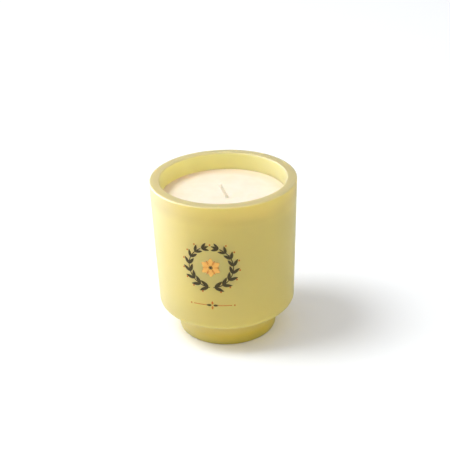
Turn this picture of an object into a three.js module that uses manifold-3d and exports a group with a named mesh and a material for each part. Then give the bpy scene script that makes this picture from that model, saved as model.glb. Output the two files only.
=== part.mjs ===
// A container candle, in millimetres, +Z up, with its origin at the centre of the foot's underside.
// A thick-walled satin glass tumbler on a narrower foot holds a cast wax fill. One braided cotton wick
// stands in the wax, crimped in a thin metal wick tab, which a foam sticker holds to the glass floor.
import * as THREE from "three";
import { mergeVertices } from "three/addons/utils/BufferGeometryUtils.js";
import Module from "manifold-3d";

const wasm = await Module();
wasm.setup();

// Driving dimensions.
const HEIGHT = 90;
const RIM_RADIUS = 40;
const BOWL_BASE_RADIUS = 38; // the wall draws in a little towards the foot
const RIM_WALL = 5.4; // thickness of the glass at the rim
const BASE_WALL = 5.6; // and just above the floor
const FOOT_HEIGHT = 15.4;
const FOOT_TOP_RADIUS = 28;
const FOOT_BASE_RADIUS = 27.3;
const FLOOR_Z = 21.6; // top of the glass floor
const WAX_LEVEL = 79.6; // the open surface, away from the glass
const WICK_ABOVE_WAX = 7.8;
const GAP = 0.3; // between pieces that touch

// Edge radii of the pressed and fire-polished glass.
const BOWL_CORNER = 4.2;
const FOOT_CORNER = 2;
const FOOT_FILLET = 1.6;
const RIM_OUTER_EDGE = 0.9;
const RIM_INNER_EDGE = 0.7;
const FLOOR_CORNER = 6;
const PUNT_RADIUS = 20; // the shallow hollow under the foot
const PUNT_DEPTH = 1.6;

// Round stretches.
const ROUND_SIDES = 72;
const SMALL_SIDES = 36;
const CORNER_STEPS = 6;
const EDGE_STEPS = 4;

// Points of a circular arc in the (radius, height) plane, angles in degrees.
function arc(centreR, centreZ, radius, fromDeg, toDeg, steps) {
  const points = [];
  for (let i = 0; i <= steps; i++) {
    const a = THREE.MathUtils.degToRad(fromDeg + ((toDeg - fromDeg) * i) / steps);
    points.push([centreR + radius * Math.cos(a), centreZ + radius * Math.sin(a)]);
  }
  return points;
}

// Turns a profile of [radius, height] points about the Z axis.
function turned(profile, sides) {
  const points = profile.map(([r, z]) => new THREE.Vector2(Math.max(r, 0), z));
  return new THREE.LatheGeometry(points, sides).rotateX(Math.PI / 2);
}

// A closed geometry as a manifold solid, and back.
function solidOf(geometry) {
  const bare = geometry.index ? geometry.toNonIndexed() : geometry.clone();
  bare.deleteAttribute("normal");
  bare.deleteAttribute("uv");
  const merged = mergeVertices(bare, 1e-3);
  return new wasm.Manifold(
    new wasm.Mesh({
      numProp: 3,
      vertProperties: new Float32Array(merged.attributes.position.array),
      triVerts: new Uint32Array(merged.index.array),
    }),
  );
}

function geometryOf(solid) {
  const mesh = solid.getMesh();
  const geometry = new THREE.BufferGeometry();
  geometry.setAttribute("position", new THREE.BufferAttribute(mesh.vertProperties, 3));
  geometry.setIndex(new THREE.BufferAttribute(mesh.triVerts, 1));
  geometry.computeVertexNormals();
  return geometry;
}

function piece(name, geometry, colour, roughness, metalness) {
  const material = new THREE.MeshStandardMaterial({ color: colour, roughness, metalness });
  const mesh = new THREE.Mesh(geometry, material);
  mesh.name = name;
  return mesh;
}

// Outer and inner radius of the tumbler's wall at a height, both straight with a slight draft.
const WALL_LOW_Z = FOOT_HEIGHT + BOWL_CORNER;
const DRAFT = (RIM_RADIUS - BOWL_BASE_RADIUS) / (HEIGHT - WALL_LOW_Z);
const INNER_RIM_RADIUS = RIM_RADIUS - RIM_WALL;
const INNER_BASE_RADIUS = BOWL_BASE_RADIUS - BASE_WALL;
const INNER_LOW_Z = FLOOR_Z + FLOOR_CORNER;
const INNER_DRAFT = (INNER_RIM_RADIUS - INNER_BASE_RADIUS) / (HEIGHT - INNER_LOW_Z);
const outerRadius = (z) => RIM_RADIUS - DRAFT * (HEIGHT - z);
const innerRadius = (z) => INNER_RIM_RADIUS - INNER_DRAFT * (HEIGHT - z);

// The glass tumbler: punt, foot, bowl, flat rim, inner wall and floor in one turned profile.
function glassVessel() {
  const rimEdgeZ = HEIGHT - RIM_OUTER_EDGE;
  const innerEdgeZ = HEIGHT - RIM_INNER_EDGE;
  const filletR = FOOT_TOP_RADIUS + FOOT_FILLET;
  const filletZ = FOOT_HEIGHT - FOOT_FILLET;
  const profile = [
    [0, PUNT_DEPTH],
    [PUNT_RADIUS - PUNT_DEPTH, PUNT_DEPTH],
    [PUNT_RADIUS, 0],
    ...arc(FOOT_BASE_RADIUS - FOOT_CORNER, FOOT_CORNER, FOOT_CORNER, -90, 0, EDGE_STEPS),
    ...arc(filletR, filletZ, FOOT_FILLET, 180, 90, EDGE_STEPS),
    ...arc(BOWL_BASE_RADIUS - BOWL_CORNER, WALL_LOW_Z, BOWL_CORNER, -90, 0, CORNER_STEPS),
    [outerRadius(HEIGHT / 2), HEIGHT / 2],
    ...arc(outerRadius(rimEdgeZ) - RIM_OUTER_EDGE, rimEdgeZ, RIM_OUTER_EDGE, 0, 90, EDGE_STEPS),
    ...arc(innerRadius(innerEdgeZ) + RIM_INNER_EDGE, innerEdgeZ, RIM_INNER_EDGE, 90, 180, EDGE_STEPS),
    [innerRadius(HEIGHT / 2), HEIGHT / 2],
    ...arc(INNER_BASE_RADIUS - FLOOR_CORNER, INNER_LOW_Z, FLOOR_CORNER, 0, -90, CORNER_STEPS),
    [0, FLOOR_Z],
  ];
  return turned(profile, ROUND_SIDES);
}

// The wick tab and its sticker, stacked on the glass floor.
const STICKER_RADIUS = 9.5;
const STICKER_THICKNESS = 0.8;
const TAB_RADIUS = 10;
const TAB_THICKNESS = 0.4;
const NECK_HEIGHT = 4;
const NECK_OUTER = 1.9;
const NECK_BORE = 1.45;
const STICKER_Z = FLOOR_Z + GAP;
const TAB_Z = STICKER_Z + STICKER_THICKNESS + GAP;
const TAB_TOP = TAB_Z + TAB_THICKNESS;
const NECK_TOP = TAB_TOP + NECK_HEIGHT;

function wickSticker() {
  const top = STICKER_Z + STICKER_THICKNESS;
  return turned([[0, STICKER_Z], [STICKER_RADIUS, STICKER_Z], [STICKER_RADIUS, top], [0, top]], SMALL_SIDES);
}

function wickTab() {
  const profile = [
    [NECK_BORE, TAB_Z],
    [TAB_RADIUS, TAB_Z],
    [TAB_RADIUS, TAB_TOP],
    [NECK_OUTER, TAB_TOP],
    [NECK_OUTER, NECK_TOP],
    [NECK_BORE, NECK_TOP],
    [NECK_BORE, TAB_Z],
  ];
  return turned(profile, SMALL_SIDES);
}

// The wick's own line: up from the tab, a little off centre at the wax, then leaning to one side.
const WICK_HALF_WIDTH = 1.0;
const WICK_HALF_THICKNESS = 0.8;
const WICK_OFF_X = 1.6;
const WICK_OFF_Y = -3.5;
const WICK_LEAN = 3.5; // sideways, from the wax to the tip
const WICK_LINE = new THREE.CatmullRomCurve3([
  new THREE.Vector3(0, 0, TAB_Z + GAP),
  new THREE.Vector3(0, 0, NECK_TOP),
  new THREE.Vector3(WICK_OFF_X * 0.5, WICK_OFF_Y * 0.4, WAX_LEVEL * 0.6),
  new THREE.Vector3(WICK_OFF_X * 1.15, WICK_OFF_Y * 0.9, WAX_LEVEL - 5),
  new THREE.Vector3(WICK_OFF_X, WICK_OFF_Y, WAX_LEVEL),
  new THREE.Vector3(WICK_OFF_X - WICK_LEAN * 0.48, WICK_OFF_Y, WAX_LEVEL + WICK_ABOVE_WAX * 0.5),
  new THREE.Vector3(WICK_OFF_X - WICK_LEAN, WICK_OFF_Y, WAX_LEVEL + WICK_ABOVE_WAX),
]);
const WICK_SIDES = 12;
const WICK_STEPS = 30;

// The wick's flattened round section, grown by a clearance, along its line.
function wickTube(clearance) {
  const section = new THREE.Shape();
  section.absellipse(0, 0, WICK_HALF_THICKNESS + clearance, WICK_HALF_WIDTH + clearance, 0, 2 * Math.PI);
  return new THREE.ExtrudeGeometry(section, {
    steps: WICK_STEPS,
    curveSegments: WICK_SIDES,
    extrudePath: WICK_LINE,
  });
}

// The wax: its sides follow the glass, its underside the tab, and its top climbs a little at the glass.
const MENISCUS = 0.6;
const MENISCUS_WIDTH = 3.5;
const MENISCUS_STEPS = 5;

function waxFill() {
  const low = FLOOR_Z + GAP;
  const pocketTop = TAB_TOP + GAP;
  const wallRadius = innerRadius(WAX_LEVEL + MENISCUS) - GAP;
  const climb = [];
  for (let i = 0; i <= MENISCUS_STEPS; i++) {
    const t = 1 - i / MENISCUS_STEPS;
    climb.push([wallRadius - MENISCUS_WIDTH * (1 - t), WAX_LEVEL + MENISCUS * t * t]);
  }
  const profile = [
    [0, NECK_TOP + GAP],
    [NECK_OUTER + GAP, NECK_TOP + GAP],
    [NECK_OUTER + GAP, pocketTop],
    [TAB_RADIUS + GAP, pocketTop],
    [TAB_RADIUS + GAP, low],
    ...arc(INNER_BASE_RADIUS - FLOOR_CORNER, INNER_LOW_Z, FLOOR_CORNER - GAP, -90, 0, CORNER_STEPS),
    [innerRadius(HEIGHT / 2) - GAP, HEIGHT / 2],
    ...climb,
    [0, WAX_LEVEL],
  ];
  const body = solidOf(turned(profile, ROUND_SIDES));
  const bore = solidOf(wickTube(GAP));
  return geometryOf(body.subtract(bore));
}

const candle = new THREE.Group();
candle.add(piece("glass_vessel", glassVessel(), 0xdccf86, 0.35, 0));
candle.add(piece("wax_fill", waxFill(), 0xfdf5e2, 0.5, 0));
candle.add(piece("wick", wickTube(0), 0xefe6d2, 0.85, 0));
candle.add(piece("wick_tab", wickTab(), 0xb9bbbd, 0.35, 1));
candle.add(piece("wick_sticker", wickSticker(), 0xf4f4f2, 0.8, 0));

export default candle;
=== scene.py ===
# %% [markdown]
# # A scented candle in a footed glass tumbler
#
# The real object is a heavy, pale yellow, satin glass tumbler on a narrower foot, filled with cream wax.
# One cotton wick stands in the wax, and a small ornament is printed on the front in dark and orange ink.
#
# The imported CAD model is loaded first, as a fixed frame in metres. Every piece made below sits where the
# CAD says and has the CAD's sizes, so that nothing has to be fitted afterwards.

from math import cos, pi, radians, sin, sqrt

import bpy
from mathutils import Matrix, Vector


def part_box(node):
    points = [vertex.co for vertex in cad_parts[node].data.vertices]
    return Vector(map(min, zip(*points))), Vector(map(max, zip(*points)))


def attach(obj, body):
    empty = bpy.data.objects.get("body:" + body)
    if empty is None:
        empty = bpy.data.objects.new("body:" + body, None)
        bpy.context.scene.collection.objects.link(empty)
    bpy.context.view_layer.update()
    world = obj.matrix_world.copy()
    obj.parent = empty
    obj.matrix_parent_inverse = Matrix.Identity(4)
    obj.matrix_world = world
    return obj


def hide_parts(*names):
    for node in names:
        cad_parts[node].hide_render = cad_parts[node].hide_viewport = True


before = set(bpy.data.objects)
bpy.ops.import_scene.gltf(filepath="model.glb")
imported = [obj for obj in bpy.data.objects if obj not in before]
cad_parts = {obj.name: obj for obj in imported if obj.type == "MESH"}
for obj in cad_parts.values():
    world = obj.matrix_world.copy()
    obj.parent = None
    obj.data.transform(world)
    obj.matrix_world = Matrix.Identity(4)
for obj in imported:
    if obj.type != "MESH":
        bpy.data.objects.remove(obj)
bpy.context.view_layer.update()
MM = 0.001

# %% [markdown]
# Loading leaves the CAD nodes selected, and an edit mode operator acts on everything that is selected. So
# each new piece starts with nothing selected. Faces and edges are then picked in code, by where they are,
# because an exact rule such as "every edge at this height and this radius" is easier to repeat than a mouse
# click.

# %% Helpers for selecting
def select_none():
    """Leaves edit mode and deselects every object."""
    if bpy.context.object and bpy.context.object.mode != "OBJECT":
        bpy.ops.object.mode_set(mode="OBJECT")
    bpy.ops.object.select_all(action="DESELECT")


def make_active(piece):
    """Selects one piece alone."""
    select_none()
    bpy.context.view_layer.objects.active = piece
    piece.select_set(True)


def pick(piece, kind, rule):
    """In edit mode, selects the edges or faces of a piece whose corner points all pass a rule."""
    bpy.ops.object.mode_set(mode="OBJECT")
    mesh = piece.data
    for things in (mesh.vertices, mesh.edges, mesh.polygons):
        things.foreach_set("select", [False] * len(things))
    count = 0
    for thing in {"EDGE": mesh.edges, "FACE": mesh.polygons}[kind]:
        if all(rule(mesh.vertices[i].co) for i in thing.vertices):
            thing.select = True
            count += 1
    bpy.ops.object.mode_set(mode="EDIT")
    bpy.ops.mesh.select_mode(type=kind)
    return count


# %% Helpers for shaping
def named(name):
    """Names the primitive that was just added, and its mesh."""
    piece = bpy.context.object
    piece.name = name
    piece.data.name = name
    return piece


def resize_ring(from_radius, to_radius, centre=(0, 0, 0)):
    """Widens or narrows the selected disc about a point, from one radius to another."""
    widen = to_radius / from_radius
    bpy.ops.transform.resize(value=(widen, widen, 1), center_override=centre)


def pull_ring(from_radius, to_radius, rise):
    """Extrudes the selected disc upwards by rise, while its radius changes."""
    bpy.ops.mesh.extrude_region_move(TRANSFORM_OT_translate={"value": (0, 0, rise)})
    resize_ring(from_radius, to_radius)


def report(piece):
    """Prints how large a piece is, in edit mode too."""
    piece.update_from_editmode()
    points = [v.co for v in piece.data.vertices]
    size = [round((max(c[i] for c in points) - min(c[i] for c in points)) / MM, 1) for i in range(3)]
    print(f"{piece.name}: {len(piece.data.polygons)} faces, {size} mm")


# %% [markdown]
# The camera comes before the pieces, because the picture decides how fine each one has to be. The view is
# that of the photograph: straight on, looking down by about 26 degrees, from a little under 60 cm, with a
# long lens and the camera rolled by two degrees. It could be aimed with a Track To constraint, but a
# constraint can't hold the roll, so the three directions of the camera are written down as a matrix.

# %% Camera
IMAGE_PIXELS = 450
FOCAL_PIXELS = 1034.25  # focal length in pixels of the 450 pixel frame
SENSOR_MM = 36
DISTANCE = 570.8 * MM
ELEVATION = radians(25.85)
ROLL = radians(-2.02)
TARGET = Vector((0.17 * MM, 0, 60.98 * MM))
NEAREST = 20 * MM
FURTHEST = 20  # metres

away = Vector((0, -cos(ELEVATION), sin(ELEVATION)))
level_right = Vector((1, 0, 0))
level_up = away.cross(level_right)
right = cos(ROLL) * level_right + sin(ROLL) * level_up
up = away.cross(right)

bpy.ops.object.camera_add(location=TARGET + DISTANCE * away)
camera = bpy.context.object
camera.name = "camera"
camera.rotation_euler = Matrix((right, up, away)).transposed().to_euler()
camera.data.sensor_width = SENSOR_MM
camera.data.lens = FOCAL_PIXELS / IMAGE_PIXELS * SENSOR_MM
camera.data.clip_start = NEAREST
camera.data.clip_end = FURTHEST
bpy.context.scene.camera = camera
print("lens, mm:", round(camera.data.lens, 2), "eye:", [round(v, 4) for v in camera.location])

# %% [markdown]
# The tumbler is pressed glass. The walls have a slight draft, so that the real one could leave its mould,
# and the foot is solid except for a shallow hollow underneath. It could be spun from a drawn profile, but
# extruding it ring by ring from a disc, the way a potter pulls up a wall, needs no drawing and keeps every
# size in view.

# %% Sizes of the tumbler
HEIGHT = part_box("glass_vessel")[1].z
RIM_RADIUS = 40 * MM
INNER_RIM_RADIUS = 34.6 * MM
FOOT_HEIGHT = 15.4 * MM
FOOT_BASE_RADIUS = 27.3 * MM
FOOT_TOP_RADIUS = 28 * MM
FLOOR_Z = 21.6 * MM  # the glass floor inside, above the solid bottom
PUNT_RADIUS = 20 * MM  # the hollow underneath
PUNT_DEPTH = 1.6 * MM
OUTER_DRAFT = 2 / 70.4  # run over rise of the outer wall
INNER_DRAFT = 2.2 / 62.4
GLASS_SIDES = 192


def outer_radius(z):
    return RIM_RADIUS - OUTER_DRAFT * (HEIGHT - z)


def inner_radius(z):
    return INNER_RIM_RADIUS - INNER_DRAFT * (HEIGHT - z)


print("height, mm:", round(HEIGHT / MM, 2))
print("wall at the rim, mm:", round((RIM_RADIUS - INNER_RIM_RADIUS) / MM, 2))

# %% Pull up the tumbler
SLACK = 0.1 * MM  # how far off its height a picked face may lie

select_none()
bpy.ops.mesh.primitive_cylinder_add(
    vertices=GLASS_SIDES,
    radius=FOOT_BASE_RADIUS,
    depth=FOOT_HEIGHT,
    location=(0, 0, FOOT_HEIGHT / 2),
)
glass = named("tumbler_glass")
bpy.ops.object.transform_apply(location=True, rotation=False, scale=False)

pick(glass, "FACE", lambda c: c.z > FOOT_HEIGHT - SLACK)
resize_ring(FOOT_BASE_RADIUS, FOOT_TOP_RADIUS)
pull_ring(FOOT_TOP_RADIUS, outer_radius(FOOT_HEIGHT), 0)  # the bowl's underside
pull_ring(outer_radius(FOOT_HEIGHT), RIM_RADIUS, HEIGHT - FOOT_HEIGHT)  # the outer wall
pull_ring(RIM_RADIUS, INNER_RIM_RADIUS, 0)  # the rim
pull_ring(INNER_RIM_RADIUS, inner_radius(FLOOR_Z), FLOOR_Z - HEIGHT)  # down the inner wall
bpy.ops.mesh.poke()

pick(glass, "FACE", lambda c: c.z < SLACK)
pull_ring(FOOT_BASE_RADIUS, PUNT_RADIUS, 0)
pull_ring(PUNT_RADIUS, PUNT_RADIUS - PUNT_DEPTH, PUNT_DEPTH)
bpy.ops.mesh.poke()
report(glass)

# %% [markdown]
# Fire-polished glass has no sharp corner anywhere, and it is the small round edges that catch the light. A
# Bevel modifier would give all of them one width, so each corner is beveled by itself, to its own radius.
# Weighted normals then keep the flat rim and the flat foot from looking swollen.

# %% Round the tumbler's corners
FLOOR_ROUNDING = 6 * MM
FLATNESS = 80  # weight of the large faces in the normals
ROUNDED_CORNERS = (  # radius and height of the corner, its rounding, and how many steps that gets
    (FOOT_BASE_RADIUS, 0, 2 * MM, 8),  # the foot's lower edge
    (FOOT_TOP_RADIUS, FOOT_HEIGHT, 1.6 * MM, 6),  # where the foot meets the bowl
    (outer_radius(FOOT_HEIGHT), FOOT_HEIGHT, 4.2 * MM, 12),  # the bowl's lower edge
    (RIM_RADIUS, HEIGHT, 0.9 * MM, 8),  # the rim outside
    (INNER_RIM_RADIUS, HEIGHT, 0.7 * MM, 6),  # the rim inside
    (inner_radius(FLOOR_Z), FLOOR_Z, FLOOR_ROUNDING, 10),  # the inner wall's foot
    (PUNT_RADIUS, 0, 0.8 * MM, 4),  # the hollow's edge
    (PUNT_RADIUS - PUNT_DEPTH, PUNT_DEPTH, 0.8 * MM, 4),  # the hollow's roof
)


def near_ring(radius, height):
    """A rule for points on a circle about the object's axis."""
    close = SLACK / 2
    return lambda c: abs(c.z - height) < close and abs(sqrt(c.x**2 + c.y**2) - radius) < close


def apply_all_modifiers(piece):
    """Applies a piece's modifiers in their order."""
    make_active(piece)
    for modifier in list(piece.modifiers):
        bpy.ops.object.modifier_apply(modifier=modifier.name)


for radius, height, rounding, steps in ROUNDED_CORNERS:
    found = pick(glass, "EDGE", near_ring(radius, height))
    bpy.ops.mesh.bevel(offset=rounding, segments=steps, affect="EDGES", offset_type="OFFSET")
    print(f"corner at {radius / MM:.1f}, {height / MM:.1f} mm: {found} edges")

make_active(glass)
bpy.ops.object.shade_smooth()
glass.modifiers.new("flat faces keep flat shading", "WEIGHTED_NORMAL").weight = FLATNESS
apply_all_modifiers(glass)
report(glass)

# %% [markdown]
# The wick is braided cotton, stiffened with wax and trimmed with scissors. It stands in the tab at the
# bottom, comes out of the wax a little off centre and leans over. Its route is the CAD wick's route: a
# smooth spline through a few corners. The spline is cut into equal steps, so that the plait keeps one pitch
# all the way.

# %% The wick's route
WICK_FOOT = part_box("wick")[0].z
TAB_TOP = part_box("wick_tab")[1].z
WAX_LEVEL = 79.6 * MM
WICK_OFF_X = 1.6 * MM
WICK_OFF_Y = -3.5 * MM
WICK_LEAN = 3.5 * MM
WICK_ABOVE_WAX = 7.8 * MM
ROUTE = (  # share of the offset in x and in y, share of the lean, and height
    (0, 0, 0, WICK_FOOT),
    (0, 0, 0, TAB_TOP),
    (0.5, 0.4, 0, WAX_LEVEL * 0.6),
    (1.15, 0.9, 0, WAX_LEVEL - 5 * MM),
    (1, 1, 0, WAX_LEVEL),
    (1, 1, 0.48, WAX_LEVEL + WICK_ABOVE_WAX / 2),
    (1, 1, 1, WAX_LEVEL + WICK_ABOVE_WAX),
)
route_corners = [Vector((x * WICK_OFF_X - lean * WICK_LEAN, y * WICK_OFF_Y, z)) for x, y, lean, z in ROUTE]
print("wick's tip, mm:", [round(v / MM, 1) for v in route_corners[-1]])

# %% Equal steps along the route
FINE_STEPS = 2000
NO_LENGTH = 1e-12  # metres, keeps a division safe


def route_point(t):
    """A point of the wick's line, t from 0 at the tab to 1 at the tip, on a spline through the corners."""
    spans = len(route_corners) - 1
    i = min(int(t * spans), spans - 1)
    u = t * spans - i
    before = route_corners[max(i - 1, 0)]
    start, end = route_corners[i], route_corners[i + 1]
    after = route_corners[min(i + 2, spans)]
    leave, arrive = (end - before) / 2, (after - start) / 2
    return (
        (2 * u**3 - 3 * u**2 + 1) * start
        + (u**3 - 2 * u**2 + u) * leave
        + (3 * u**2 - 2 * u**3) * end
        + (u**3 - u**2) * arrive
    )


def even_route(steps):
    """Points an equal distance apart along the wick's line, with the distance of each from the tab."""
    fine = [route_point(i / FINE_STEPS) for i in range(FINE_STEPS + 1)]
    run = [0.0]
    for a, b in zip(fine, fine[1:]):
        run.append(run[-1] + (b - a).length)
    points, k = [], 0
    for i in range(steps + 1):
        goal = run[-1] * i / steps
        while k < len(run) - 2 and run[k + 1] < goal:
            k += 1
        share = (goal - run[k]) / max(run[k + 1] - run[k], NO_LENGTH)
        points.append((fine[k].lerp(fine[k + 1], min(max(share, 0), 1)), goal))
    return points


wick_length = even_route(1)[-1][1]
print("wick length, mm:", round(wick_length / MM, 1))

# %% [markdown]
# A flat braid is three strands laid over one another, each twisted from four yarns. A tube with a bump
# pattern would read as plastic even from a step away, so each yarn is its own bent tube. A plait is two
# sine waves across the route, one twice as fast as the other, and the yarns turn round the middle of their
# strand.

# %% Sizes of the plait
STRANDS = 3
YARNS = 4
STRAND_SWING = 0.54 * MM  # how far a strand goes to either side
STRAND_WEAVE = 0.27 * MM  # and over or under its neighbours
STRAND_RADIUS = 0.38 * MM
YARN_RADIUS = 0.185 * MM
PLAIT_PITCH = 5.2 * MM
YARN_TWIST = 3.4 * MM
WICK_STEP = 0.3 * MM
SPLAY_LENGTH = 1.0 * MM  # the trimmed end, where the strands part a little
SPLAY = 0.35  # by this share of their swing
YARN_TIP = (0.45, 0.85)  # radius of a yarn's last point and of the one before, as a share
WIDE_TURN = radians(25)
WIDE_SIDE = Vector((cos(WIDE_TURN), sin(WIDE_TURN), 0))  # where the braid's wide side points
wick_points = even_route(int(wick_length / WICK_STEP))
print("points along each yarn:", len(wick_points))

# %% Plait the wick
def yarn_line(strand, yarn):
    """The centre line of one yarn of one strand."""
    line = []
    for i, (centre, run) in enumerate(wick_points):
        a = wick_points[max(i - 1, 0)][0]
        b = wick_points[min(i + 1, len(wick_points) - 1)][0]
        along = (b - a).normalized()
        across = (WIDE_SIDE - WIDE_SIDE.dot(along) * along).normalized()
        through = along.cross(across)
        phase = 2 * pi * (run / PLAIT_PITCH + strand / STRANDS)
        twist = 2 * pi * (run / YARN_TWIST + yarn / YARNS)
        open_end = max(0.0, 1 - (wick_length - run) / SPLAY_LENGTH)
        spread = 1 + SPLAY * open_end**2
        side = STRAND_SWING * sin(phase) * spread + (STRAND_RADIUS - YARN_RADIUS) * cos(twist) * spread
        depth = STRAND_WEAVE * sin(2 * phase) + (STRAND_RADIUS - YARN_RADIUS) * sin(twist) * spread
        line.append(centre + side * across + depth * through)
    return line


select_none()
yarns = bpy.data.curves.new("braided_wick", "CURVE")
yarns.dimensions = "3D"
yarns.bevel_depth = YARN_RADIUS
yarns.bevel_resolution = 1
yarns.use_fill_caps = True
for strand in range(STRANDS):
    for yarn in range(YARNS):
        line = yarn_line(strand, yarn)
        trimmed = (strand * 2 + yarn * 3) % 4  # the scissors leave some yarns a little shorter
        line = line[: len(line) - trimmed]
        spline = yarns.splines.new("POLY")
        spline.points.add(len(line) - 1)
        for point, place in zip(spline.points, line):
            point.co = (*place, 1)
        for from_end, share in enumerate(YARN_TIP, start=1):
            spline.points[len(line) - from_end].radius = share
wick = bpy.data.objects.new("braided_wick", yarns)
bpy.context.scene.collection.objects.link(wick)
make_active(wick)
bpy.ops.object.convert(target="MESH")
bpy.ops.object.shade_smooth()
wick = bpy.context.object
report(wick)

# %% [markdown]
# The wax was poured warm and cooled slowly. Its top is flat, climbs the glass a little, and draws up round
# the wick like water round a reed. A flat lid would look like card. So a cylinder is cut to the inside of
# the glass, its top is inset ring by ring, and each ring is moved sideways a little more than the last, so
# that the rings end up centred on the wick instead of on the glass. Then they can carry both curves.

# %% Cast the wax
wax_low, wax_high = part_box("wax_fill")
WAX_SIDES = 144
WAX_CLEARANCE = 0.06 * MM
WAX_ROUNDING_STEPS = 8
MENISCUS = wax_high.z - WAX_LEVEL
MENISCUS_WIDTH = 3.5 * MM
WICK_HOLLOW = 0.35 * MM  # a shallow dip where the wax shrank as it set
WICK_HOLLOW_WIDTH = 6 * MM
WICK_CLIMB = 0.45 * MM
WICK_CLIMB_WIDTH = 0.8 * MM
WICK_COLLAR_RADIUS = 0.62 * MM
RING_COUNT = 40

wax_top_radius = inner_radius(wax_high.z) - WAX_CLEARANCE
wax_base_radius = inner_radius(wax_low.z) - WAX_CLEARANCE
select_none()
bpy.ops.mesh.primitive_cylinder_add(
    vertices=WAX_SIDES,
    radius=wax_base_radius,
    depth=wax_high.z - wax_low.z,
    location=(0, 0, (wax_low.z + wax_high.z) / 2),
)
wax = named("cast_wax")
bpy.ops.object.transform_apply(location=True, rotation=False, scale=False)
pick(wax, "EDGE", near_ring(wax_base_radius, wax_low.z))
bpy.ops.mesh.bevel(
    offset=FLOOR_ROUNDING - WAX_CLEARANCE,
    segments=WAX_ROUNDING_STEPS,
    affect="EDGES",
    offset_type="OFFSET",
)
pick(wax, "FACE", lambda c: c.z > wax_high.z - SLACK)
resize_ring(wax_base_radius, wax_top_radius)
report(wax)

# %% Shape the wax's top
def wax_rise(to_glass, to_wick):
    """Height of the wax over its level, by how far a ring is from the glass and from the wick."""
    at_glass = MENISCUS * max(0.0, 1 - to_glass / MENISCUS_WIDTH) ** 2
    hollow = WICK_HOLLOW * max(0.0, 1 - (to_wick / WICK_HOLLOW_WIDTH) ** 2) ** 2
    at_wick = WICK_CLIMB * max(0.0, 1 - to_wick / WICK_CLIMB_WIDTH) ** 2
    return at_glass - hollow + at_wick


ring_radius, ring_centre, ring_rise = wax_top_radius, Vector((0, 0, 0)), MENISCUS
wick_exit = Vector((WICK_OFF_X, WICK_OFF_Y, 0))
for i in range(1, RING_COUNT + 1):
    share = i / RING_COUNT
    closeness = 0.5 - 0.5 * cos(pi * share)  # rings are closer together at the glass and at the wick
    next_radius = wax_top_radius + (WICK_COLLAR_RADIUS - wax_top_radius) * closeness
    next_centre = wick_exit * closeness
    next_rise = wax_rise(wax_top_radius - next_radius, next_radius - WICK_COLLAR_RADIUS)
    bpy.ops.mesh.extrude_region_move(TRANSFORM_OT_translate={"value": next_centre - ring_centre})
    resize_ring(ring_radius, next_radius, (*next_centre.xy, 0))
    bpy.ops.transform.translate(value=(0, 0, next_rise - ring_rise))
    ring_radius, ring_centre, ring_rise = next_radius, next_centre, next_rise
bpy.ops.mesh.poke()
report(wax)

# %% [markdown]
# A faint unevenness keeps the wax from looking like a mirror. It could be a bump in the material, but a
# real one also shows in the line where wax meets glass. So a Displace modifier moves the top's vertices up
# and down by a soft cloud pattern, and fades out at the edge.

# %% Soften the wax
UNEVEN_SIZE = 9 * MM
UNEVEN_DEPTH = 0.22 * MM
EDGE_MARGIN = 0.5 * MM

top_points = wax.vertex_groups.new(name="open_top")
bpy.ops.object.mode_set(mode="OBJECT")
for v in wax.data.vertices:
    radius = sqrt(v.co.x**2 + v.co.y**2)
    if v.co.z > WAX_LEVEL - WICK_HOLLOW - SLACK and radius < wax_top_radius - EDGE_MARGIN:
        top_points.add([v.index], min(1.0, (wax_top_radius - radius) / MENISCUS_WIDTH), "REPLACE")

cooling = bpy.data.textures.new("slow_cooling", "CLOUDS")
cooling.noise_scale = UNEVEN_SIZE
cooling.noise_depth = 1
uneven = wax.modifiers.new("uneven top", "DISPLACE")
uneven.texture = cooling
uneven.direction = "Z"
uneven.strength = UNEVEN_DEPTH
uneven.mid_level = 0.5
uneven.vertex_group = "open_top"
apply_all_modifiers(wax)
report(wax)

# %% [markdown]
# Wax soaks into a wick and grips it, so there is no gap to see. Two pieces that run through each other
# would still give a ragged line. So the wick's channel is cut with a Boolean, by a smooth tube of the
# plait's own middle width, and only the outermost yarns reach into the wax.

# %% Open the wick's channel
CHANNEL_STEPS = 80
CREASE_ANGLE = radians(40)

select_none()
channel = bpy.data.curves.new("wick_channel", "CURVE")
channel.dimensions = "3D"
channel.bevel_depth = WICK_COLLAR_RADIUS
channel.bevel_resolution = 4
channel.use_fill_caps = True
channel_spline = channel.splines.new("POLY")
channel_spline.points.add(CHANNEL_STEPS)
for point, (place, run) in zip(channel_spline.points, even_route(CHANNEL_STEPS)):
    point.co = (*place, 1)
cutter = bpy.data.objects.new("wick_channel", channel)
bpy.context.scene.collection.objects.link(cutter)
make_active(cutter)
bpy.ops.object.convert(target="MESH")
cutter = bpy.context.object

cut = wax.modifiers.new("wick channel", "BOOLEAN")
cut.operation = "DIFFERENCE"
cut.solver = "EXACT"
cut.object = cutter
apply_all_modifiers(wax)
bpy.data.objects.remove(cutter)
make_active(wax)
bpy.ops.object.shade_smooth_by_angle(angle=CREASE_ANGLE)
report(wax)

# %% [markdown]
# The ornament on the front is fired screen-print ink: a film thinner than paper that follows the glass
# exactly. It could be painted into the glass's material, but as thin pieces of its own it keeps a crisp
# edge at any distance. Each motif is first drawn flat, as it would be cut into a screen, from filled Bezier
# outlines.

# %% Sizes and inks of the print
INK_THICKNESS = 0.05 * MM
PRINT_TURN = radians(-12)  # the print's middle is a little to the left of the front
PRINT_RADIUS = outer_radius(52 * MM)
WREATH_CENTRE = Vector((0, 0, 55 * MM))
WREATH_RADIUS = 12 * MM
RULE_Z = 32 * MM
INK_NAMES = ("print_leaves", "print_petals", "print_accents")
DARK, LIGHT, BRIGHT = range(3)
ink_materials = [bpy.data.materials.new(name) for name in INK_NAMES]
motifs = []
print("print's radius, mm:", round(PRINT_RADIUS / MM, 2))

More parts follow.
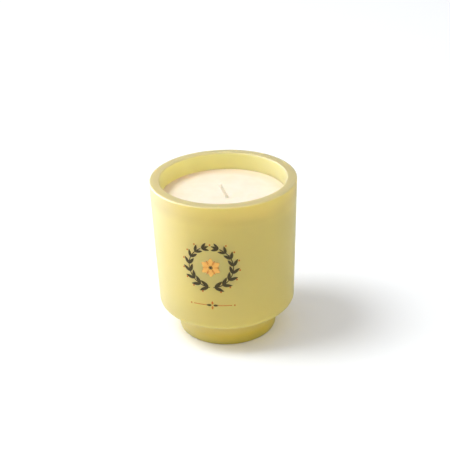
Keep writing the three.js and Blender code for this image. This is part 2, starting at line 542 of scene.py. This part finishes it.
# %% Helper for flat shapes
def flat_shape(outline, ink, place, turn=0.0, steps=7):
    """A filled outline in the plane of X and Z. outline lists each corner with its two handles, as (x, z)."""
    flat = bpy.data.curves.new("motif", "CURVE")
    flat.dimensions = "2D"
    flat.fill_mode = "BOTH"
    flat.resolution_u = steps
    spline = flat.splines.new("BEZIER")
    spline.bezier_points.add(len(outline) - 1)
    spline.use_cyclic_u = True
    for point, (corner, before, after) in zip(spline.bezier_points, outline):
        point.handle_left_type = point.handle_right_type = "FREE"
        point.co = (*corner, 0)
        point.handle_left = (*before, 0)
        point.handle_right = (*after, 0)
    motif = bpy.data.objects.new("motif", flat)
    bpy.context.scene.collection.objects.link(motif)
    make_active(motif)
    bpy.ops.object.convert(target="MESH")
    motif = bpy.context.object
    motif.data.materials.append(ink_materials[ink])
    motif.data.transform(Matrix.Rotation(turn, 4, "Z"))
    motif.data.transform(Matrix.Rotation(radians(90), 4, "X"))
    motif.data.transform(Matrix.Translation(place))
    motifs.append(motif)


# %% Leaf, dot and bar
LEAF_FOOT_HANDLE = (0.16, 0.58)  # shares of the leaf's length and width
LEAF_TIP_HANDLE = (0.62, 0.56)
QUARTER_HANDLE = 0.5523  # length of a quarter circle's handles, over its radius


def leaf(length, width, ink, place, turn):
    """A pointed leaf along +X from its foot, fuller towards its foot."""
    foot, tip = (0, 0), (length, 0)
    foot_x, foot_z = length * LEAF_FOOT_HANDLE[0], width * LEAF_FOOT_HANDLE[1]
    tip_x, tip_z = length * LEAF_TIP_HANDLE[0], width * LEAF_TIP_HANDLE[1]
    outline = [
        (foot, (foot_x, -foot_z), (foot_x, foot_z)),
        (tip, (tip_x, tip_z), (tip_x, -tip_z)),
    ]
    flat_shape(outline, ink, place, turn)


def dot(radius, ink, place):
    """A round dot, as four curved quarters."""
    quarters = []
    for i in range(4):
        a = pi / 2 * i
        corner = Vector((cos(a), sin(a))) * radius
        along = Vector((-sin(a), cos(a))) * QUARTER_HANDLE * radius
        quarters.append((corner, corner - along, corner + along))
    flat_shape(quarters, ink, place, steps=4)


def bar(length, width, ink, place, turn=0.0):
    """A straight bar with pointed ends."""
    half, side = length / 2, width / 2
    upper = [(-half, 0), (side - half, side), (half - side, side)]
    lower = [(half, 0), (half - side, -side), (side - half, -side)]
    flat_shape([(c, c, c) for c in upper + lower], ink, place, turn, steps=1)


# %% [markdown]
# The wreath is two leafy branches that rise from the bottom and stay apart at the top. One branch could be
# drawn and mirrored, but mirroring turns faces over, so both are drawn by the same loop, with a side of 1
# or -1. Each leaf pair gets a little smaller towards the tip, as on a real twig.

# %% The wreath
LEAF_PAIRS = 8
LEAF_LONG = 5.6 * MM  # at the bottom of the wreath
LEAF_SHORT = 4.2 * MM  # at the branch tips
LEAF_SLIMNESS = 0.42  # width over length
LEAF_LEAN = radians(34)
TIP_LEAF_WIDTH = 1.6 * MM
BRANCH_START = radians(-82)  # near the bottom of the wreath
BRANCH_END = radians(68)  # short of its top, which stays open
BERRY_RADIUS = 0.5 * MM
BERRY_OUT = 3.5 * MM
TOP_BERRY_OUT = 1.5 * MM
STEM_BARS = 26
STEM_WIDTH = 0.5 * MM
STEM_OVERLAP = 0.4 * MM


def on_wreath(side, angle, out=0.0):
    """A point on one branch, angle from level, and out from the branch's own circle."""
    return WREATH_CENTRE + (WREATH_RADIUS + out) * Vector((side * cos(angle), 0, sin(angle)))


def along_branch(side, angle):
    """The direction in which a branch grows at an angle."""
    return pi / 2 + side * angle


leaf_step = (BRANCH_END - BRANCH_START) / (LEAF_PAIRS - 1)
bar_step = (BRANCH_END - BRANCH_START) / STEM_BARS
bar_length = WREATH_RADIUS * bar_step + STEM_OVERLAP
for side in (1, -1):
    for i in range(LEAF_PAIRS):
        angle = BRANCH_START + leaf_step * i
        grows = along_branch(side, angle)
        length = LEAF_LONG + (LEAF_SHORT - LEAF_LONG) * i / (LEAF_PAIRS - 1)
        for lean in (LEAF_LEAN, -LEAF_LEAN):
            leaf(length, length * LEAF_SLIMNESS, DARK, on_wreath(side, angle), grows + lean)
    for i in range(LEAF_PAIRS - 1):
        dot(BERRY_RADIUS, BRIGHT, on_wreath(side, BRANCH_START + leaf_step * (i + 0.5), BERRY_OUT))
    leaf(LEAF_SHORT, TIP_LEAF_WIDTH, DARK, on_wreath(side, BRANCH_END), along_branch(side, BRANCH_END))
    for i in range(STEM_BARS):
        angle = BRANCH_START + bar_step * i
        bar(bar_length, STEM_WIDTH, DARK, on_wreath(side, angle), along_branch(side, angle))
print("motifs in the wreath:", len(motifs))

# %% [markdown]
# In the wreath stands a small blossom of six petals with six slim leaves between them, and below it lies a
# short rule with a four-leaved star in its middle. Both are the same few shapes again, turned and placed,
# which keeps the whole print in one hand.

# %% The blossom and the rule
PETALS = 6
PETAL_LENGTH, PETAL_WIDTH, PETAL_START = 4.9 * MM, 3.7 * MM, 0.75 * MM
SEPAL_LENGTH, SEPAL_WIDTH, SEPAL_START = 3.6 * MM, 1.1 * MM, 1.2 * MM
HEART_RADIUS = 1.2 * MM
LINE_LENGTH, LINE_WIDTH, LINE_OUT = 7.6 * MM, 0.42 * MM, 6.9 * MM
LINE_END_RADIUS, LINE_END_OUT = 0.48 * MM, 12.1 * MM
STAR_START = 0.5 * MM
STAR_LENGTH, STAR_WIDTH = 2.9 * MM, 1.5 * MM  # its two leaves to the sides
STAR_HEIGHT, STAR_THICKNESS = 2.1 * MM, 1.3 * MM  # and its two leaves up and down


def round_blossom(distance, angle):
    return WREATH_CENTRE + distance * Vector((cos(angle), 0, sin(angle)))


for i in range(PETALS):
    petal = 2 * pi * i / PETALS + pi / 2
    between = petal + pi / PETALS
    leaf(PETAL_LENGTH, PETAL_WIDTH, LIGHT, round_blossom(PETAL_START, petal), petal)
    leaf(SEPAL_LENGTH, SEPAL_WIDTH, BRIGHT, round_blossom(SEPAL_START, between), between)
dot(HEART_RADIUS, DARK, WREATH_CENTRE)
dot(BERRY_RADIUS, BRIGHT, on_wreath(1, pi / 2, TOP_BERRY_OUT))

star_middle = Vector((0, 0, RULE_Z))
for side, outward in ((1, 0), (-1, pi)):
    sideways = Vector((side, 0, 0))
    bar(LINE_LENGTH, LINE_WIDTH, BRIGHT, star_middle + LINE_OUT * sideways)
    dot(LINE_END_RADIUS, BRIGHT, star_middle + LINE_END_OUT * sideways)
    leaf(STAR_LENGTH, STAR_WIDTH, DARK, star_middle + STAR_START * sideways, outward)
for side in (1, -1):
    upwards = Vector((0, 0, side))
    leaf(STAR_HEIGHT, STAR_THICKNESS, BRIGHT, star_middle + STAR_START * upwards, side * pi / 2)
print("motifs drawn:", len(motifs))

# %% [markdown]
# The flat drawing is now laid on the glass, as a transfer is. It is subdivided, so that it can curve, bent
# round the tumbler's axis, and pressed onto the glass by a Shrinkwrap, because the wall also leans. Then it
# is taken apart by ink, and a Solidify gives each ink the thickness of a film.

# %% Fire the print onto the glass
PRESS_GAP = 0.02 * MM

select_none()
for motif in motifs:
    motif.select_set(True)
bpy.context.view_layer.objects.active = motifs[0]
bpy.ops.object.join()
artwork = bpy.context.object
artwork.data.transform(Matrix.Translation((PRINT_TURN * PRINT_RADIUS, 0, 0)))
bpy.ops.object.mode_set(mode="EDIT")
bpy.ops.mesh.select_all(action="SELECT")
bpy.ops.mesh.subdivide(number_cuts=2)
bpy.ops.object.mode_set(mode="OBJECT")
bend = artwork.modifiers.new("round the axis", "SIMPLE_DEFORM")
bend.deform_method = "BEND"
bend.deform_axis = "Z"
bend.angle = artwork.dimensions.x / PRINT_RADIUS
apply_all_modifiers(artwork)
artwork.data.transform(Matrix.Translation((0, -PRINT_RADIUS, 0)))
press = artwork.modifiers.new("press onto the glass", "SHRINKWRAP")
press.target = glass
press.wrap_method = "NEAREST_SURFACEPOINT"
press.wrap_mode = "ABOVE_SURFACE"
press.offset = PRESS_GAP
apply_all_modifiers(artwork)
bpy.ops.object.mode_set(mode="EDIT")
bpy.ops.mesh.select_all(action="SELECT")
bpy.ops.mesh.separate(type="MATERIAL")
bpy.ops.object.mode_set(mode="OBJECT")
inks = []
for piece in list(bpy.context.selected_objects):
    ink = piece.data.materials[0]
    piece.name = piece.data.name = ink.name
    inks.append(piece)
for piece in inks:
    film = piece.modifiers.new("ink film", "SOLIDIFY")
    film.thickness = INK_THICKNESS
    film.offset = 1
    apply_all_modifiers(piece)
    report(piece)

# %% [markdown]
# Every finish below reads Object coordinates, so it stays put on the piece from any side. Each starts from
# one Principled shader, and small noises drive its colour, its roughness and a little bump, because no real
# surface is the same all over. What is the same all over is set on the shader itself.

# %% Helpers for finishes
def finish_named(name):
    """A new material with its Principled shader, ready for nodes."""
    material = bpy.data.materials.get(name) or bpy.data.materials.new(name)
    material.use_nodes = True
    return material, material.node_tree.nodes["Principled BSDF"]


def wire(material, source, target):
    material.node_tree.links.new(source, target)


def settings(node, values):
    """Sets constants on a node's own sockets."""
    for name, value in values.items():
        node.inputs[name].default_value = value


def object_places(material):
    """The piece's own coordinates, in metres."""
    return material.node_tree.nodes.new("ShaderNodeTexCoord").outputs["Object"]


def noise(material, size, detail=2.0, roughness=0.5):
    """Noise whose blotches are about size across, as a value from 0 to 1."""
    node = material.node_tree.nodes.new("ShaderNodeTexNoise")
    settings(node, {"Scale": 1 / size, "Detail": detail, "Roughness": roughness})
    wire(material, object_places(material), node.inputs["Vector"])
    return node.outputs["Fac"]


def remap(material, value, low, high, between=(0.0, 1.0)):
    """A value that goes from low to high while the incoming one crosses a range."""
    node = material.node_tree.nodes.new("ShaderNodeMapRange")
    settings(node, {"From Min": between[0], "From Max": between[1], "To Min": low, "To Max": high})
    wire(material, value, node.inputs["Value"])
    return node.outputs["Result"]


def wear(piece, material):
    """Gives a piece its finish, and prints how many nodes that has."""
    piece.data.materials.clear()
    piece.data.materials.append(material)
    print(f"{piece.name} wears {material.name}, {len(material.node_tree.nodes)} nodes")


# %% Helpers for blends
def distance_from_axis(material):
    """How far a point is from the object's upright axis, in metres."""
    flatten = material.node_tree.nodes.new("ShaderNodeVectorMath")
    flatten.operation = "MULTIPLY"
    flatten.inputs[1].default_value = (1, 1, 0)
    wire(material, object_places(material), flatten.inputs[0])
    length = material.node_tree.nodes.new("ShaderNodeVectorMath")
    length.operation = "LENGTH"
    wire(material, flatten.outputs["Vector"], length.inputs[0])
    return length.outputs["Value"]


def blend_colours(material, share, first, second):
    """A colour between two colours, each a plain colour or another node's output."""
    node = material.node_tree.nodes.new("ShaderNodeMix")
    node.data_type = "RGBA"
    wire(material, share, node.inputs["Factor"])
    for socket, colour in (("A", first), ("B", second)):
        target = [i for i in node.inputs if i.name == socket and i.type == "RGBA"][0]
        if isinstance(colour, tuple):
            target.default_value = (*colour, 1)
        else:
            wire(material, colour, target)
    return [o for o in node.outputs if o.type == "RGBA"][0]


# %% [markdown]
# The glass is coloured through, and its whole surface is etched to a satin. Its colour isn't even: the solid
# foot is deeper. The rest is painted light. The wall above the wax line is painted darker, as painted shade
# where no wax stands behind it. The inside is painted paler, as a painted glow of the light that comes
# through the wall. The flat rim is painted darker and greyer, as painted shade on its top. Each of these is a
# blend by height or by distance from the axis.

# %% Colours of the satin glass
GLASS_WALL = (0.75, 0.625, 0.115)
GLASS_WALL_PALE = (0.78, 0.665, 0.16)
# painted shade: the wall is darker above the wax line, where no wax lights it from behind
GLASS_ABOVE_WAX_PAINTED_SHADE = (0.66, 0.545, 0.11)
# painted glow: the inside is paler, standing in for light that comes through the wall
GLASS_INSIDE_PAINTED_GLOW = (0.90, 0.80, 0.36)
# painted shade: the rim's top is darker and greyer than the wall
GLASS_RIM_PAINTED_SHADE = (0.67, 0.57, 0.275)
GLASS_FOOT = (0.83, 0.635, 0.03)
CLOUD_SIZE = 18 * MM
CLOUD_SHARE = (0.2, 0.8)  # how much of the pale colour is mixed in
WAX_LINE = (WAX_LEVEL - 1.6 * MM, WAX_LEVEL + 3.4 * MM)  # heights
INNER_FACE = (35 * MM, 37 * MM)  # distances from the axis
RIM_EDGE = (HEIGHT - 0.9 * MM, HEIGHT - 0.2 * MM)
FOOT_FADE = (6 * MM, 19 * MM)

satin, shader = finish_named("satin_yellow_glass")
axes = satin.node_tree.nodes.new("ShaderNodeSeparateXYZ")
wire(satin, object_places(satin), axes.inputs["Vector"])
height = axes.outputs["Z"]
clouding = remap(satin, noise(satin, CLOUD_SIZE, detail=3), *CLOUD_SHARE)
colour = blend_colours(satin, clouding, GLASS_WALL, GLASS_WALL_PALE)
# painted shade above the wax line
above_wax_painted_shade = remap(satin, height, 0, 1, WAX_LINE)
colour = blend_colours(satin, above_wax_painted_shade, colour, GLASS_ABOVE_WAX_PAINTED_SHADE)
# painted glow on the inside faces
inward_painted_glow = remap(satin, distance_from_axis(satin), 1, 0, INNER_FACE)
colour = blend_colours(satin, inward_painted_glow, colour, GLASS_INSIDE_PAINTED_GLOW)
# painted shade on the rim's top
at_rim_painted_shade = remap(satin, height, 0, 1, RIM_EDGE)
colour = blend_colours(satin, at_rim_painted_shade, colour, GLASS_RIM_PAINTED_SHADE)
above_foot = remap(satin, height, 0, 1, FOOT_FADE)
colour = blend_colours(satin, above_foot, GLASS_FOOT, colour)
wire(satin, colour, shader.inputs["Base Color"])
print("nodes for the glass's colour:", len(satin.node_tree.nodes))

# %% [markdown]
# Light goes a few millimetres into such glass before it comes out again, and some goes right through the
# wall. It could be clear glass with a tint in its volume, but that is slow and grainy to render. Here
# subsurface scattering, with red and green travelling further than blue, gives the glow, and half of it is
# transmission. The etched skin has a broad gloss, made of wide waves from the mould, a fine tooth and a
# rough coat.

# %% Depth and gloss of the satin glass
SATIN_ROUGHNESS = (0.50, 0.62)
WAVE_SIZE, WAVE_DEPTH = 14 * MM, 0.10 * MM
TOOTH_SIZE, TOOTH_DEPTH = 0.12 * MM, 0.0025 * MM


def bump(material, shader, height, depth, beneath=None):
    """Adds relief of a real depth to a shader's normal, over any relief beneath it."""
    node = material.node_tree.nodes.new("ShaderNodeBump")
    settings(node, {"Strength": 1.0, "Distance": depth})
    wire(material, height, node.inputs["Height"])
    if beneath is not None:
        wire(material, beneath, node.inputs["Normal"])
    wire(material, node.outputs["Normal"], shader.inputs["Normal"])
    return node.outputs["Normal"]


etching = noise(satin, size=1.5 * MM, detail=4)
wire(satin, remap(satin, etching, *SATIN_ROUGHNESS), shader.inputs["Roughness"])
waves = bump(satin, shader, noise(satin, WAVE_SIZE, detail=1), WAVE_DEPTH)
bump(satin, shader, noise(satin, TOOTH_SIZE, detail=3), TOOTH_DEPTH, waves)
settings(
    shader,
    {
        "IOR": 1.5,
        "Transmission Weight": 0.5,
        "Subsurface Weight": 1.0,
        "Subsurface Radius": (1.0, 0.9, 0.55),
        "Subsurface Scale": 12 * MM,
        "Coat Weight": 1.0,
        "Coat Roughness": 0.65,
    },
)
wear(glass, satin)

# %% [markdown]
# Soy wax is a soft, slightly frosty white that light also enters, but not as far. Its gloss is broad. It has
# paler and creamier patches a few millimetres across and a fine crystalline tooth. Near the glass it is
# painted darker and warmer, as painted shade from the wall, tinted by the yellow light that comes through the
# glass.

# %% Wax
WAX_CREAM = (0.85, 0.735, 0.61)
WAX_PALE = (0.87, 0.775, 0.66)
# painted shade: the wax is darker and warmer near the glass wall
WAX_EDGE_PAINTED_SHADE = (0.78, 0.63, 0.45)
WAX_EDGE_FADE = (27 * MM, 34 * MM)  # distances from the axis
WAX_FROSTING = (0.35, 0.7)  # values of the noise between which cream turns pale
WAX_ROUGHNESS = (0.36, 0.52)
HILL_SIZE, HILL_DEPTH = 6 * MM, 0.12 * MM
CRYSTAL_SIZE, CRYSTAL_DEPTH = 0.35 * MM, 0.012 * MM

soft_wax, shader = finish_named("cream_wax")
frosting = noise(soft_wax, size=7 * MM, detail=5, roughness=0.6)
paleness = remap(soft_wax, frosting, 0, 1, WAX_FROSTING)
colour = blend_colours(soft_wax, paleness, WAX_CREAM, WAX_PALE)
# painted shade near the glass wall
near_glass_painted_shade = remap(soft_wax, distance_from_axis(soft_wax), 0, 1, WAX_EDGE_FADE)
wire(soft_wax, blend_colours(soft_wax, near_glass_painted_shade, colour, WAX_EDGE_PAINTED_SHADE), shader.inputs["Base Color"])
sheen_patches = noise(soft_wax, size=2 * MM, detail=4)
wire(soft_wax, remap(soft_wax, sheen_patches, *WAX_ROUGHNESS), shader.inputs["Roughness"])
hills = bump(soft_wax, shader, noise(soft_wax, HILL_SIZE, detail=2), HILL_DEPTH)
crystals = noise(soft_wax, CRYSTAL_SIZE, detail=4, roughness=0.6)
bump(soft_wax, shader, crystals, CRYSTAL_DEPTH, hills)
settings(
    shader,
    {
        "IOR": 1.44,
        "Subsurface Weight": 1.0,
        "Subsurface Radius": (1.0, 0.8, 0.6),
        "Subsurface Scale": 1.5 * MM,
    },
)
wear(wax, soft_wax)

# %% [markdown]
# Cotton yarn is matt and hairy. This one is stiffened with wax, so it keeps a slight shine where the wax
# sits. Hairs would be finer than a pixel, so a fine, rough noise stands in for them, in colour and in
# relief, and a little sheen gives the soft light edge of cloth.

# %% Waxed cotton
COTTON_SHADED = (0.95, 0.88, 0.77)
COTTON_LIGHT = (0.99, 0.96, 0.90)
COTTON_ROUGHNESS = (0.55, 0.9)
FIBRE_SIZE, FIBRE_DEPTH = 0.22 * MM, 0.05 * MM

cotton, shader = finish_named("waxed_cotton")
fibres = noise(cotton, FIBRE_SIZE, detail=5, roughness=0.7)
wire(cotton, blend_colours(cotton, fibres, COTTON_SHADED, COTTON_LIGHT), shader.inputs["Base Color"])
waxed = noise(cotton, size=0.8 * MM)
wire(cotton, remap(cotton, waxed, *COTTON_ROUGHNESS), shader.inputs["Roughness"])
bump(cotton, shader, fibres, FIBRE_DEPTH)
settings(shader, {"Sheen Weight": 0.25})
wear(wick, cotton)

# %% [markdown]
# The tab is thin tinned steel, stamped from sheet, so it has fine straight rolling lines. The sticker is
# white foam with open pores. Both are CAD nodes whose shape is right, so they only get a finish. A wave
# texture draws the lines, and cell noise draws the pores, which are painted darker, as painted shade in them.
# Neither shows from outside.

# %% Tab and sticker
TIN_DULL = (0.62, 0.62, 0.63)
TIN_BRIGHT = (0.76, 0.76, 0.77)
TIN_ROUGHNESS = (0.24, 0.42)
LINE_DEPTH = 0.004 * MM
# painted shade in the foam's pores
FOAM_PORE_PAINTED_SHADE = (0.72, 0.72, 0.69)
FOAM_SKIN = (0.86, 0.86, 0.84)
PORE_SIZE, PORE_DEPTH = 0.5 * MM, 0.06 * MM

tinned, shader = finish_named("tinned_steel")
lines = tinned.node_tree.nodes.new("ShaderNodeTexWave")
settings(lines, {"Scale": 900, "Distortion": 2, "Detail": 3})
wire(tinned, object_places(tinned), lines.inputs["Vector"])
dulling = noise(tinned, size=3 * MM, detail=3)
wire(tinned, blend_colours(tinned, dulling, TIN_DULL, TIN_BRIGHT), shader.inputs["Base Color"])
wire(tinned, remap(tinned, lines.outputs["Fac"], *TIN_ROUGHNESS), shader.inputs["Roughness"])
bump(tinned, shader, lines.outputs["Fac"], LINE_DEPTH)
settings(shader, {"Metallic": 1.0})

foam, shader = finish_named("white_foam")
pores = foam.node_tree.nodes.new("ShaderNodeTexVoronoi")
settings(pores, {"Scale": 1 / PORE_SIZE})
wire(foam, object_places(foam), pores.inputs["Vector"])
pore_depth_and_shade = pores.outputs["Distance"]
# painted shade in the pores, and their depth in the bump
wire(foam, blend_colours(foam, pore_depth_and_shade, FOAM_PORE_PAINTED_SHADE, FOAM_SKIN), shader.inputs["Base Color"])
bump(foam, shader, pore_depth_and_shade, PORE_DEPTH)
settings(shader, {"Roughness": 0.85})

for node, finish in (("wick_tab", tinned), ("wick_sticker", foam)):
    wear(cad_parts[node], finish)

# %% [markdown]
# Fired ink is nearly matt and very slightly uneven: a mesh leaves it thicker in places, and thin places let
# a trace of the glass show. One helper makes all three inks, from the colour where the ink lies thick and
# the colour where it lies thin.

# %% Inks
INK_LAYER = (0.3, 0.75)  # values of the noise between which thin turns thick
INK_ROUGHNESS = (0.42, 0.62)
LAYER_SIZE, LAYER_DEPTH = 0.9 * MM, 0.01 * MM


def ink_finish(name, thick, thin):
    """An ink, with its colour where it lies thick and where it lies thin."""
    ink, shader = finish_named(name)
    laid = noise(ink, LAYER_SIZE, detail=4, roughness=0.65)
    thickness = remap(ink, laid, 0, 1, INK_LAYER)
    wire(ink, blend_colours(ink, thickness, thin, thick), shader.inputs["Base Color"])
    grain = noise(ink, size=0.4 * MM, detail=3)
    wire(ink, remap(ink, grain, *INK_ROUGHNESS), shader.inputs["Roughness"])
    bump(ink, shader, laid, LAYER_DEPTH)
    settings(shader, {"Specular IOR Level": 0.2})
    print(f"{name}: {len(ink.node_tree.nodes)} nodes")


ink_finish("print_leaves", thick=(0.038, 0.029, 0.008), thin=(0.075, 0.058, 0.018))
ink_finish("print_petals", thick=(0.78, 0.37, 0.065), thin=(0.84, 0.46, 0.12))
ink_finish("print_accents", thick=(0.58, 0.17, 0.028), thin=(0.66, 0.24, 0.05))

# %% [markdown]
# The candle stands on white paper. A plain white plane would do, but faint mottling keeps the floor from
# looking like an empty page.

# %% Floor
FLOOR_SIZE = 6  # metres
PAPER = (0.880, 0.880, 0.900)
PAPER_PALE = (0.890, 0.889, 0.905)

select_none()
bpy.ops.mesh.primitive_plane_add(size=FLOOR_SIZE, location=(0, 0, 0))
floor = named("floor")
paper, shader = finish_named("white_paper")
mottling = noise(paper, size=40 * MM, detail=2)
wire(paper, blend_colours(paper, mottling, PAPER, PAPER_PALE), shader.inputs["Base Color"])
settings(shader, {"Roughness": 0.9, "Specular IOR Level": 0.1})
wear(floor, paper)

# %% [markdown]
# The studio is a soft white room with large lamps. The key stands high on the left and throws the soft
# shadow to the right. A weaker one below it lights the left wall. A faint fill in front keeps the right
# side from going grey. The last lamp does the work of a reflector card: low on the left and a little
# behind, it draws the broad pale highlight down the left of the glass, and is left out of matt reflections
# so that it adds nothing else.

# %% Light and room
BODY_MIDDLE = Vector((0, 0, 45 * MM))
DAYLIGHT = (0.955, 1.0, 1.0)
ROOM_LIGHT = 0.67


def softbox(name, azimuth, elevation, distance, width, height, watts):
    """An area light that faces the candle. Its azimuth counts from +X, counter-clockwise, both in degrees."""
    turn, lift = radians(azimuth), radians(elevation)
    outward = Vector((cos(lift) * cos(turn), cos(lift) * sin(turn), sin(lift)))
    bpy.ops.object.light_add(type="AREA", location=BODY_MIDDLE + distance * outward)
    lamp = bpy.context.object
    lamp.name = name
    lamp.rotation_euler = outward.to_track_quat("Z", "Y").to_euler()
    lamp.data.shape = "ELLIPSE"
    lamp.data.size = width
    lamp.data.size_y = height
    lamp.data.energy = watts
    lamp.visible_camera = False
    print(f"{name}: {watts} W at {distance} m")
    return lamp


key = softbox("key", azimuth=182, elevation=60, distance=2.6, width=1.2, height=1.2, watts=42)
low_key = softbox("low_key", azimuth=182, elevation=36, distance=2.6, width=0.9, height=0.9, watts=9.5)
for lamp in (key, low_key):
    lamp.data.color = DAYLIGHT
softbox("front_fill", azimuth=-60, elevation=12, distance=1.2, width=0.9, height=0.9, watts=1.8)
card = softbox("gloss_card", azimuth=168, elevation=12, distance=0.47, width=0.62, height=0.32, watts=8.5)
card.visible_diffuse = False
card.visible_transmission = False

room = bpy.data.worlds.new("white_room")
bpy.context.scene.world = room
room.use_nodes = True
settings(room.node_tree.nodes["Background"], {"Color": (1, 1, 1, 1), "Strength": ROOM_LIGHT})
bpy.context.scene.view_settings.view_transform = "Standard"

# %% [markdown]
# Last, each new piece is joined to the one body, and the CAD node that it stands for is hidden. The candle
# has no joints, so there is one body.

# %% Join the pieces to the frame
for piece, node, finish in (
    (glass, "glass_vessel", "satin_glass"),
    (wax, "wax_fill", "candle_wax"),
    (wick, "wick", "wick_cotton"),
):
    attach(piece, "root")
    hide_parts(node)
for piece in inks:
    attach(piece, "root")
